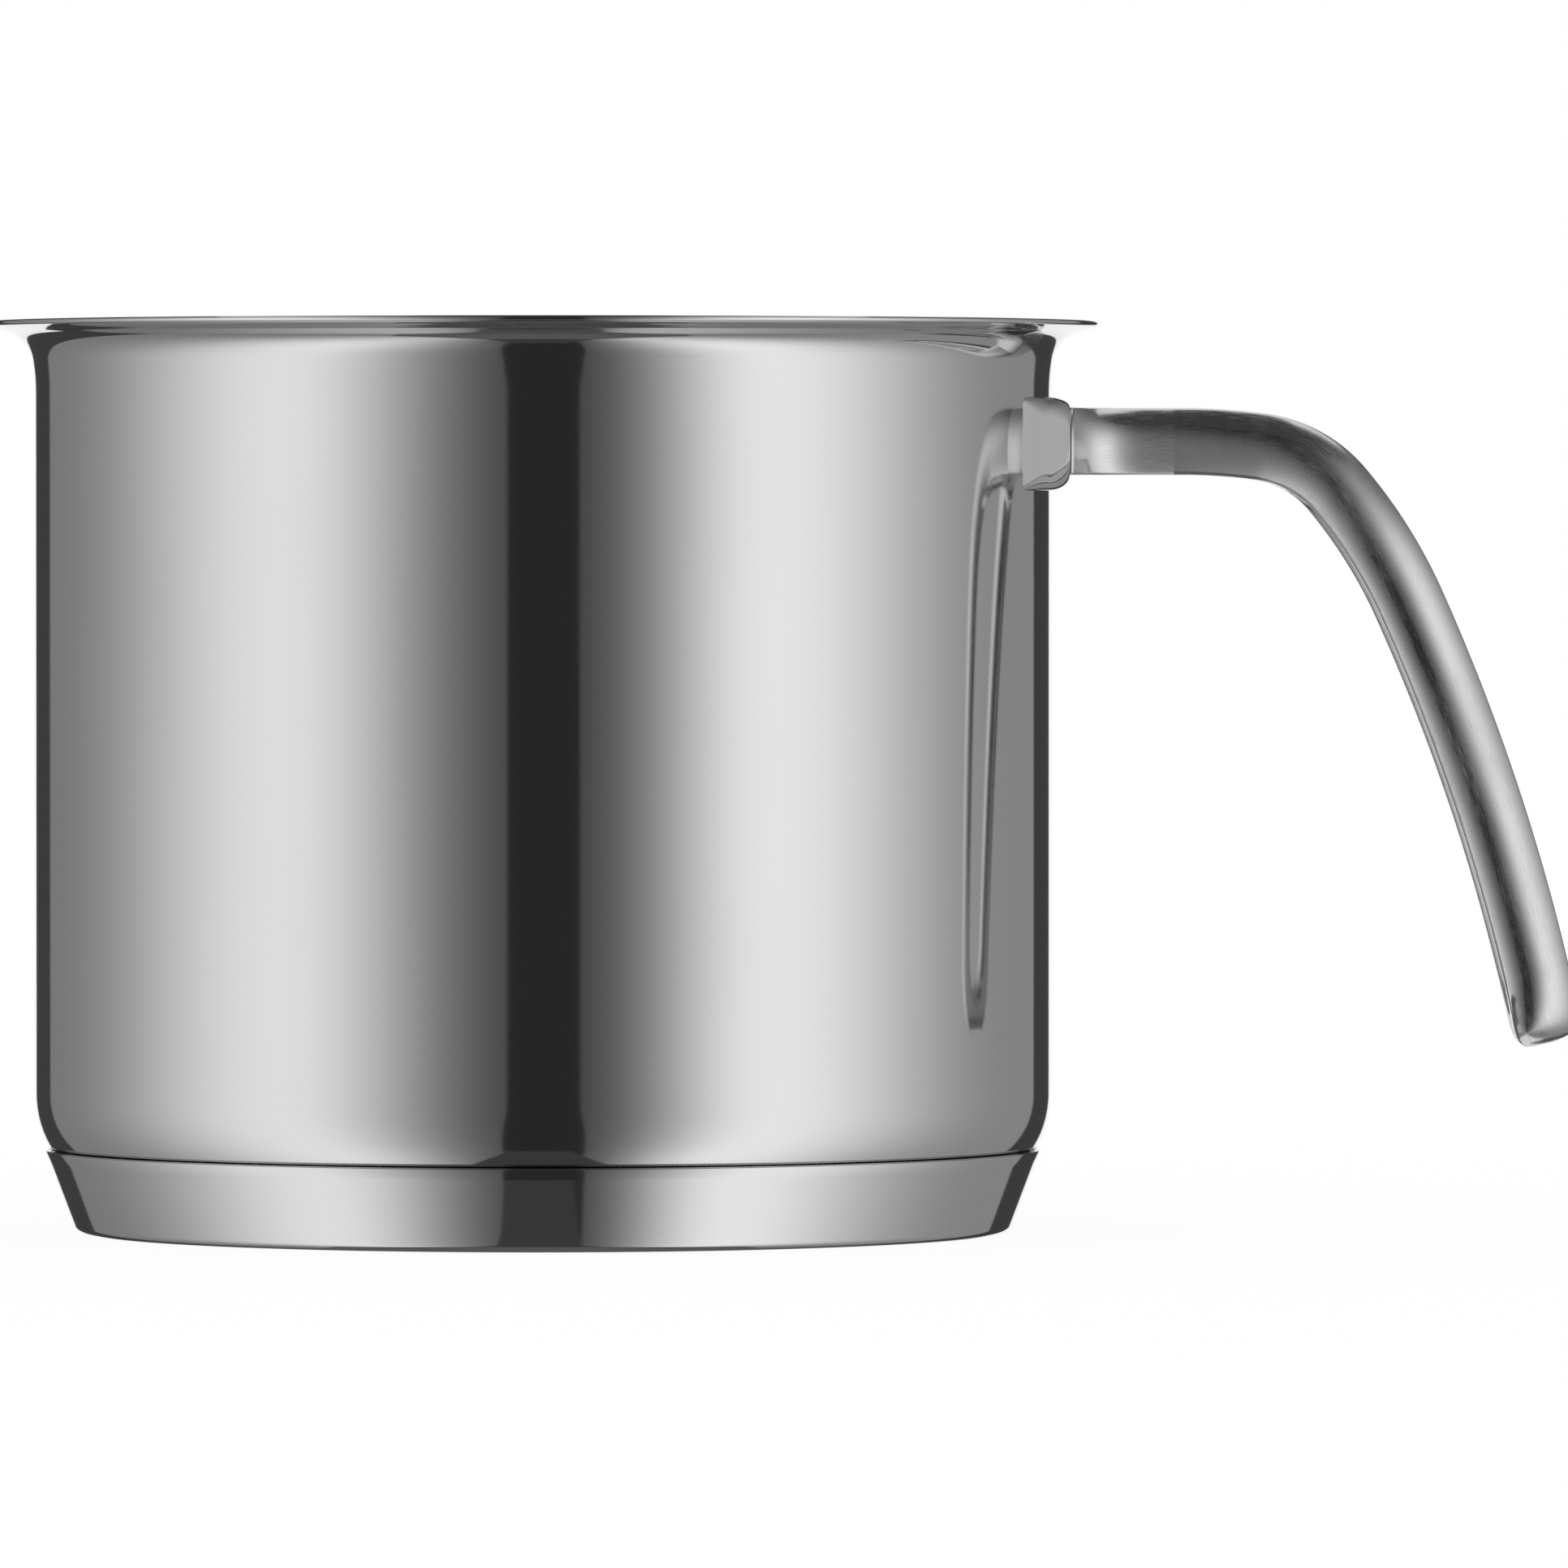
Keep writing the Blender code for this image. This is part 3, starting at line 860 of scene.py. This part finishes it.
    def mesh(self) -> Mesh:
        """Skin both halves of the handle, weld them at the middle and close both ends.

        Returns:
            A closed mesh with a map of (way round the section, way along the handle).
        """
        form = bmesh.new()
        layer = form.loops.layers.uv.new(MAP_NAME)
        spots = self.stations()
        crease = spots.index(self.neck_place)
        for side in (1, -1):
            sections = []
            for distance in spots:
                skin = self.skin_points(distance)
                sections.append(skin + self.wall_points(distance, (skin[-1], skin[0])))
            middle = sections[len(sections) // 2]
            ways = ways_along(middle + middle[:1])
            rings = [[form.verts.new(self.at(distance, side * y, out)) for y, out in section]
                     for distance, section in zip(spots, sections)]
            last_of_skin = len(skin) - 1
            for i, (start, end) in enumerate(zip(spots, spots[1:])):
                opened = self.slot_start <= start and end <= self.slot_end
                for k in range(len(middle) if opened else last_of_skin):
                    after = (k + 1) % len(middle)
                    quad = form.faces.new((rings[i][k], rings[i][after],
                                           rings[i + 1][after], rings[i + 1][k]))
                    quad.smooth = True
                    corners = ((ways[k], start), (ways[k + 1], start),
                               (ways[k + 1], end), (ways[k], end))
                    for loop, corner in zip(quad.loops, corners):
                        loop[layer].uv = corner
            for near, far in zip(rings[crease][:last_of_skin], rings[crease][1:]):
                form.edges.get((near, far)).smooth = False
        loose = [vert for vert in form.verts if not vert.link_faces]
        bmesh.ops.delete(form, geom=loose, context="VERTS")
        bmesh.ops.remove_doubles(form, verts=form.verts, dist=MICRON)
        bmesh.ops.holes_fill(form, edges=[edge for edge in form.edges if edge.is_boundary])
        bmesh.ops.recalc_face_normals(form, faces=form.faces)
        return as_mesh(form, "cast_loop")


@dataclass
class Handle:
    """The handle: its foot on the wall and its cast loop."""

    loop: Loop
    foot_front_width: float = 0.0336
    foot_wall_width: float = 0.0488
    foot_bite: float = 0.0050
    foot_sink: float = 0.0001
    foot_shoulder: float = 0.0030
    foot_edge_round: float = 0.0030
    foot_wall_round: float = 0.0009
    foot_wall_blend: float = 0.0040
    foot_rings: int = 48
    foot_corner_steps: int = 12
    foot_crease: float = math.radians(35)

    def foot_block(self, reach: float) -> Mesh:
        """Skin the saddle block: rounded oblong rings that shrink to the loop's root.

        Args:
            reach: How far from the axis the block's edges meet the wall.

        Returns:
            The block's mesh, still without the hollow for the wall.
        """
        low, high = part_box("handle_foot")
        front_half, wall_half = self.foot_front_width / 2, self.foot_wall_width / 2
        taper = (wall_half - front_half) / (high.x - reach)
        back = reach - self.foot_bite
        middle, tall = (low.z + high.z) / 2, (high.z - low.z) / 2
        root, root_tall = self.loop.run_height, self.loop.thickness / 2
        form = bmesh.new()
        rings = []
        for k in range(self.foot_rings + 1):
            x = back + (high.x - back) * math.sin(math.pi / 2 * k / self.foot_rings)
            into = max(x - high.x + self.foot_shoulder, 0.0) / self.foot_shoulder
            left = math.sqrt(1 - into ** 2)
            half_tall = root_tall + (tall - root_tall) * left
            height = root + (middle - root) * left
            half_wide = front_half + taper * (high.x - x)
            bend = self.foot_wall_round + (self.foot_edge_round - self.foot_wall_round) * eased(
                (x - reach) / self.foot_wall_blend)
            ring = []
            for corner, (y_side, z_side) in enumerate(((1, 1), (-1, 1), (-1, -1), (1, -1))):
                for j in range(self.foot_corner_steps + 1):
                    turn = math.pi / 2 * (corner + j / self.foot_corner_steps)
                    ring.append(form.verts.new((
                        x, y_side * (half_wide - bend) + bend * math.cos(turn),
                        height + z_side * (half_tall - bend) + bend * math.sin(turn))))
            rings.append(ring)
        for near, far in zip(rings, rings[1:]):
            for k in range(len(near)):
                form.faces.new((near[k - 1], near[k], far[k], far[k - 1]))
        form.faces.new(rings[0])
        form.faces.new(rings[-1])
        bmesh.ops.recalc_face_normals(form, faces=form.faces)
        return as_mesh(form, "handle_saddle")

    def build_foot(self, vessel: Vessel) -> None:
        """Make the saddle block and hollow it to the wall.

        Args:
            vessel: The vessel that it is welded to.
        """
        low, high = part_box("handle_foot")
        seat_radius = vessel.radius - self.foot_sink
        block = self.foot_block(math.sqrt(seat_radius ** 2 - (self.foot_wall_width / 2) ** 2))
        block.materials.append(HAND_POLISHED_STEEL.material())
        piece = add_piece("handle_saddle", block)
        form = bmesh.new()
        bmesh.ops.create_cone(form, cap_ends=True, segments=vessel.columns, radius1=seat_radius,
                              radius2=seat_radius, depth=high.z - low.z + self.foot_bite)
        bmesh.ops.translate(form, verts=form.verts, vec=(0.0, 0.0, (low.z + high.z) / 2))
        cutter = add_piece("wall_cutter", as_mesh(form, "wall_cutter"))
        boolean = piece.modifiers.new("wall", "BOOLEAN")
        boolean.operation = "DIFFERENCE"
        boolean.object = cutter
        hollowed = baked(piece)
        piece.modifiers.clear()
        piece.data = hollowed
        for spare in (cutter.data, block):
            bpy.data.meshes.remove(spare)
        hollowed.shade_smooth()
        hollowed.set_sharp_from_angle(angle=self.foot_crease)
        seat(piece, "handle_foot")

    def build(self, vessel: Vessel) -> None:
        """Make and dress the foot and the loop.

        Args:
            vessel: The vessel that carries them.
        """
        self.build_foot(vessel)
        mesh = self.loop.mesh()
        mesh.materials.append(SATIN_STEEL.material())
        seat(add_piece("cast_loop", mesh), "handle_loop")


@dataclass(frozen=True)
class Panel:
    """A panel of the studio, given by the directions that it fills as the pan sees them.

    Azimuth is counted from the camera, to the right, and elevation from the horizon.

    Attributes:
        name: What it is in the studio.
        azimuths: Left and right edge, in degrees.
        elevations: Lower and upper edge, in degrees.
        radiance: Its light, where 1 is white.
        distance: How far off it stands, in metres.
        spread: How far each side edge moves out from the horizon to straight below, in degrees.
    """

    STEP = 3.0

    name: str
    azimuths: Point
    elevations: Point
    radiance: float
    distance: float = 20.0
    spread: float = 0.0

    def mesh(self) -> Mesh:
        """Make the panel as a patch of a sphere round the pan.

        Returns:
            Its mesh.
        """
        (left, right), (low, high) = self.azimuths, self.elevations
        steps_round = max(2, math.ceil((right - left) / self.STEP))
        steps_up = max(2, math.ceil((high - low) / self.STEP))
        form = bmesh.new()
        rows = []
        for j in range(steps_up + 1):
            up = low + (high - low) * j / steps_up
            out = self.spread * max(-up, 0.0) / 90
            reach = self.distance * math.cos(math.radians(up))
            height = self.distance * math.sin(math.radians(up))
            row = []
            for k in range(steps_round + 1):
                turn = math.radians(left - out + (right - left + 2 * out) * k / steps_round)
                row.append(form.verts.new((reach * math.sin(turn), -reach * math.cos(turn),
                                           height)))
            rows.append(row)
        for near, far in zip(rows, rows[1:]):
            for k in range(steps_round):
                form.faces.new((near[k], near[k + 1], far[k + 1], far[k]))
        return as_mesh(form, self.name)


@dataclass(frozen=True)
class Board:
    """A level board below the floor line.

    Attributes:
        name: What it is in the studio.
        height: How high it lies.
        edges: Its half widths from front to back, as (place along Y, half width).
        radiance: Its light, where 1 is white.
    """

    name: str
    height: float
    edges: tuple[Point, ...]
    radiance: float

    def mesh(self) -> Mesh:
        """Make the board.

        Returns:
            Its mesh.
        """
        form = bmesh.new()
        right = [(half, reach, self.height) for reach, half in self.edges]
        left = [(-half, reach, self.height) for reach, half in reversed(self.edges)]
        form.faces.new([form.verts.new(corner) for corner in right + left])
        return as_mesh(form, self.name)


@dataclass(frozen=True)
class Fade:
    """How a glow falls off past an angle.

    Attributes:
        start: Angle up to which it keeps its full light, in degrees.
        width: Angle past the start at which it has lost most of it, in degrees.
        power: How suddenly it falls.
        rest: Share that is left far off.
    """

    start: float
    width: float
    power: float
    rest: float = 0.0

    def share(self, tree: NodeTree, angle: Node) -> Node:
        """Work out the share of the light that is left.

        Args:
            tree: The material's tree.
            angle: The node that gives the angle, in radians.

        Returns:
            The node that gives the share.
        """
        add = partial(add_node, tree)
        start, end = math.radians(self.start), math.radians(self.start + self.width)
        past = add("ShaderNodeMapRange", {"Value": angle, "From Min": start, "From Max": end},
                   clamp=False)
        fading = add(MATH, {0: past, 1: 0.0}, operation="MAXIMUM")
        steep = add(MATH, {0: fading, 1: self.power}, operation="POWER")
        lost = add(MATH, {0: steep, 1: -1.0}, operation="MULTIPLY")
        kept = add(MATH, {0: lost}, operation="EXPONENT")
        return add(MATH, {0: kept, 1: 1 - self.rest, 2: self.rest}, operation="MULTIPLY_ADD")


@dataclass(frozen=True)
class Lamp(Panel):
    """A large lamp behind diffusing cloth: its glow fades from a brightest line to the sides.

    Attributes:
        peak: Azimuth of the brightest line, on either side, in degrees.
        towards: How the glow fades towards the camera: width, power and rest.
        away: How it fades away from the camera: width, power and rest.
    """

    peak: float = 0.0
    towards: tuple[float, float, float] = (30.0, 2.0, 0.0)
    away: tuple[float, float, float] = (40.0, 2.0, 0.0)


class Studio:
    """Soft studio light, a white room with two lamps and dark flags, and a pale floor."""

    PANELS = (
        Lamp("right_lamp", (9.0, 149.0), (-90.0, 54.0), 1.156, peak=55.2,
             towards=(27.1, 2.35, 0.052), away=(39.3, 1.90, 0.26)),
        Lamp("left_lamp", (-149.0, -7.0), (-90.0, 54.0), 1.081, peak=60.9,
             towards=(32.5, 2.21, 0.052), away=(42.4, 1.88, 0.215)),
        Panel("camera_gap", (-7.0, 9.0), (-90.0, 54.0), 0.0285, distance=19.0, spread=6.0),
        Panel("right_flag", (149.0, 168.5), (-55.0, 39.0), 0.055, distance=19.5),
        Panel("left_flag", (-168.5, -149.0), (-55.0, 39.0), 0.055, distance=19.5),
        Panel("overhead_front", (-100.0, 100.0), (54.0, 90.0), 0.056, distance=18.0),
        Panel("overhead_back", (100.0, 260.0), (76.0, 90.0), 0.056, distance=18.0),
    )
    FADE_UP = Fade(0.0, 42.5, 2.5)
    FADE_DOWN = Fade(45.0, 42.0, 1.7)
    # The table is lighter under the pan and behind it, where only the flared rim sees it.
    BOARDS = (
        Board("dark_table", -0.120, ((-0.213, 0.025), (-0.143, 0.040), (-0.060, 0.094),
                                     (0.0, 0.0725), (0.387, 0.160)), 0.056),
        Board("table_sheen", -0.119, ((-0.138, 0.042), (-0.060, 0.094), (0.0, 0.0725),
                                      (0.387, 0.160)), 0.13),
    )
    FLOOR_RADIUS = 8.0
    FLOOR_STEPS = 96
    FLOOR_COLOUR = "FFFFFF"
    FLOOR_SHADOW_SHARE = 0.07

    def glow(self, tree: NodeTree, lamp: Lamp) -> Node:
        """Work out a lamp's radiance over its cloth.

        Args:
            tree: The material's tree.
            lamp: The lamp.

        Returns:
            The node that gives the radiance.
        """
        add = partial(add_node, tree)
        place = add("ShaderNodeTexCoord").outputs["Object"]
        axes = add("ShaderNodeSeparateXYZ", {"Vector": place}).outputs
        nearness = add(MATH, {0: axes["Y"], 1: -1.0}, operation="MULTIPLY")
        turn = add(MATH, {0: axes["X"], 1: nearness}, operation="ARCTAN2")
        away = add(MATH, {0: turn}, operation="ABSOLUTE")
        height = add(MATH, {0: axes["Z"], 1: lamp.distance}, operation="DIVIDE")
        up = add(MATH, {0: height}, operation="ARCSINE")
        towards, down = (add(MATH, {0: angle, 1: -1.0}, operation="MULTIPLY")
                         for angle in (away, up))
        light = lamp.radiance
        for fade, angle in ((Fade(-lamp.peak, *lamp.towards), towards),
                            (Fade(lamp.peak, *lamp.away), away),
                            (self.FADE_UP, up), (self.FADE_DOWN, down)):
            light = add(MATH, {0: light, 1: fade.share(tree, angle)}, operation="MULTIPLY")
        return light

    def panel_material(self, panel: Panel | Board) -> Material:
        """Make the glowing material of a panel or board.

        Args:
            panel: The panel or board.

        Returns:
            The material.
        """
        material, tree = new_material(panel.name + "_cloth")
        strength = self.glow(tree, panel) if isinstance(panel, Lamp) else panel.radiance
        shine = add_node(tree, "ShaderNodeEmission", {"Strength": strength})
        add_node(tree, "ShaderNodeOutputMaterial", {"Surface": shine})
        material.cycles.emission_sampling = "NONE"
        return material

    def add_panels(self) -> None:
        """Hang lamps, flags and dark ceiling and set the table, for reflections alone."""
        for panel in self.PANELS + self.BOARDS:
            thing = add_piece(panel.name, panel.mesh())
            thing.data.materials.append(self.panel_material(panel))
            for ray in ("camera", "diffuse", "transmission", "shadow", "volume_scatter"):
                setattr(thing, "visible_" + ray, False)
            thing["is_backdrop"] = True

    def add_floor(self) -> None:
        """Lay the pale floor, which takes a faint shadow and is open from below."""
        form = bmesh.new()
        bmesh.ops.create_circle(form, cap_ends=True, segments=self.FLOOR_STEPS,
                                radius=self.FLOOR_RADIUS)
        floor = add_piece("floor", as_mesh(form, "floor"))
        material, tree = new_material("pale_studio_floor")
        add = partial(add_node, tree)
        colour = linear(self.FLOOR_COLOUR)
        glow = add("ShaderNodeEmission", {"Color": colour, "Strength": 1.0})
        matt = add("ShaderNodeBsdfDiffuse", {"Color": colour})
        both = add("ShaderNodeMixShader", {0: self.FLOOR_SHADOW_SHARE, 1: glow, 2: matt})
        behind = add("ShaderNodeNewGeometry").outputs["Backfacing"]
        open_below = add("ShaderNodeMixShader",
                         {0: behind, 1: both, 2: add("ShaderNodeBsdfTransparent")})
        add("ShaderNodeOutputMaterial", {"Surface": open_below})
        material.cycles.emission_sampling = "NONE"
        floor.data.materials.append(material)
        floor.visible_glossy = False
        floor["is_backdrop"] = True

    def add_world(self) -> None:
        """Fill the room with plain white light."""
        world = bpy.data.worlds.new("white_room")
        world.use_nodes = True
        bpy.context.scene.world = world
        world.node_tree.nodes["Background"].inputs["Color"].default_value = (1.0, 1.0, 1.0, 1.0)

    def build(self) -> None:
        """Set up the whole studio."""
        self.add_world()
        self.add_panels()
        self.add_floor()
        LOG.info("studio: %d panels", len(self.PANELS))


@dataclass
class ProductCamera:
    """The long-lens camera of the photograph, level with the pan's upper half."""

    focal: float = 366.0
    place: tuple[float, float, float] = (0.0336, -2.223, 0.1009)
    target: tuple[float, float, float] = (0.0336, 0.0, 0.0624)
    clip: Point = (0.05, 100.0)

    def build(self) -> None:
        """Make the camera and look through it."""
        data = bpy.data.cameras.new("product_camera")
        data.lens = self.focal
        data.clip_start, data.clip_end = self.clip
        camera = bpy.data.objects.new("product_camera", data)
        bpy.context.scene.collection.objects.link(camera)
        camera.location = self.place
        sight = Vector(self.target) - Vector(self.place)
        camera.rotation_euler = sight.to_track_quat("-Z", "Y").to_euler()
        bpy.context.scene.camera = camera


def write_sizes() -> None:
    """Write the solid model's box and the visual model's box."""
    corners = {"cad": CAD_BOUNDS, "visual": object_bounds()}
    sizes = {name: [list(corner) for corner in box] for name, box in corners.items()}
    for name, box in sizes.items():
        LOG.info("%s box: %s", name, box)


def main() -> None:
    """Build the camera, the pan's pieces and the studio."""
    logging.basicConfig(level=logging.INFO, format="%(message)s")
    bpy.context.scene.view_settings.view_transform = "Standard"
    ProductCamera().build()
    turner = TurnedForm()
    vessel = Vessel()
    vessel.build(turner)
    Base().build(turner)
    Handle(Loop()).build(vessel)
    Studio().build()
    write_sizes()


if __name__ == "__main__":
    main()
